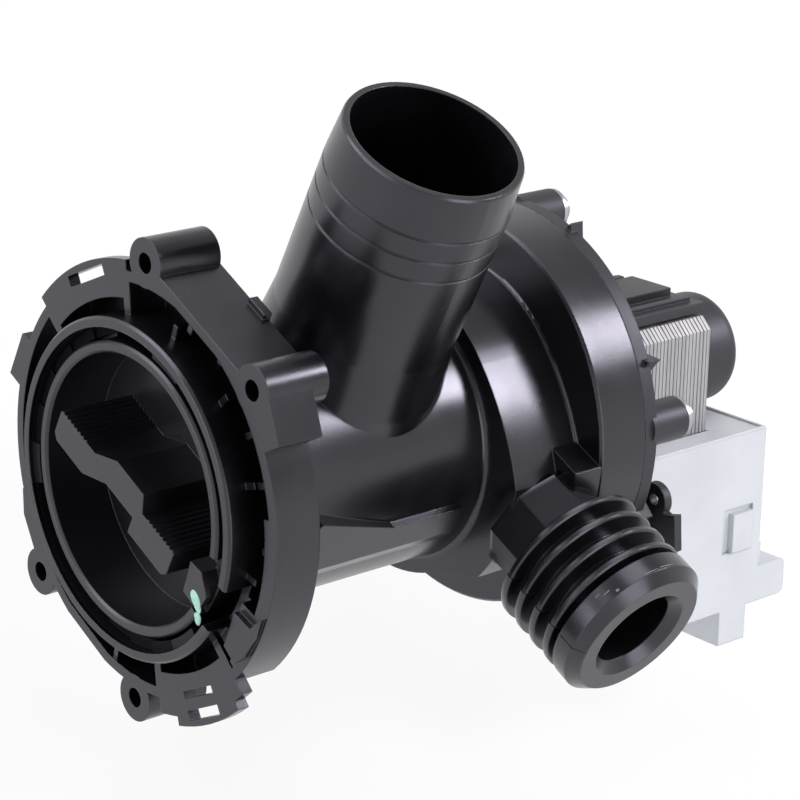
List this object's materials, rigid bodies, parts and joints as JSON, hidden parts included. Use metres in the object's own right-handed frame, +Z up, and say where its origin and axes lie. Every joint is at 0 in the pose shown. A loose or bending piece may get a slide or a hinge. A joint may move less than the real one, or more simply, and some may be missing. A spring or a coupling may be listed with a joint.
{
  "type": "washer drain pump",
  "caption": "Washing-machine drain pump: flanged filter socket with twist-out filter, upright inlet pipe, ribbed side outlet and a synchronous motor with an open lamination stack.",
  "frame": {"origin": "on the pump axis, in the plane of the four screw boss faces of the front flange", "axes": "+Y along the pump axis from the flange to the motor, +Z up the inlet pipe, +X out of the outlet"},
  "size_m": [0.135, 0.1979, 0.1607],
  "materials": {
    "housing_plastic": "satin black glass-filled moulding",
    "filter_plastic": "satin black moulding",
    "seal_rubber": "matt black",
    "impeller_plastic": "satin dark grey moulding",
    "white_plastic": "satin natural white moulding",
    "shaft_steel": "ground",
    "ferrite": "matt dark grey ceramic magnet",
    "bearing_carbon": "dark grey, dry running",
    "cover_plastic": "satin black moulding",
    "screw_steel": "bright zinc plate",
    "stack_steel": "stamped sheet edges",
    "copper_wire": "enamelled copper wire",
    "hood_plastic": "satin white moulding",
    "tinned_brass": "tinned"
  },
  "bodies": {
    "housing": {"pump_housing": "housing_plastic", "motor_cover": "cover_plastic", "cover_seal": "seal_rubber", "cover_screws": "screw_steel", "lamination_stack": "stack_steel", "stack_rivets": "screw_steel", "coil_bobbins": "white_plastic", "coil_windings": "copper_wire", "thermal_fuse": "white_plastic", "coil_hood": "hood_plastic", "spade_terminals": "tinned_brass", "front_bearing": "bearing_carbon", "front_bearing_mount": "seal_rubber", "bearing_cap": "cover_plastic", "rear_bearing": "bearing_carbon", "rear_bearing_mount": "seal_rubber"},
    "rotor": {"rotor_shaft": "shaft_steel", "rotor_core": "white_plastic", "rotor_magnet": "ferrite", "drive_dog": "white_plastic"},
    "wheel": {"impeller": "impeller_plastic", "hub_cover": "impeller_plastic"},
    "seal_ring": {"filter_seal": "seal_rubber"},
    "filter": {"filter_cap": "filter_plastic", "lint_cage": "filter_plastic"}
  },
  "joints": [
    {"name": "rotor_spin", "type": "hinge", "parent": "housing", "child": "rotor", "pos_m": [0, 0.12, 0], "axis": [0, 1, 0], "continuous": true},
    {"name": "impeller_play", "type": "hinge", "parent": "rotor", "child": "wheel", "pos_m": [0, 0.088, 0], "axis": [0, 1, 0], "range_deg": [0, 260]},
    {"name": "filter_draw", "type": "slide", "parent": "housing", "child": "seal_ring", "axis": [0, -1, 0], "range_m": [0, 0.005]},
    {"name": "filter_turn", "type": "hinge", "parent": "seal_ring", "child": "filter", "pos_m": [0, 0, 0], "axis": [0, -1, 0], "range_deg": [0, 90]}
  ],
  "couplings": [
    {"joint": "filter_draw", "follows": "filter_turn", "m_per_rad": 0.003183}
  ]
}
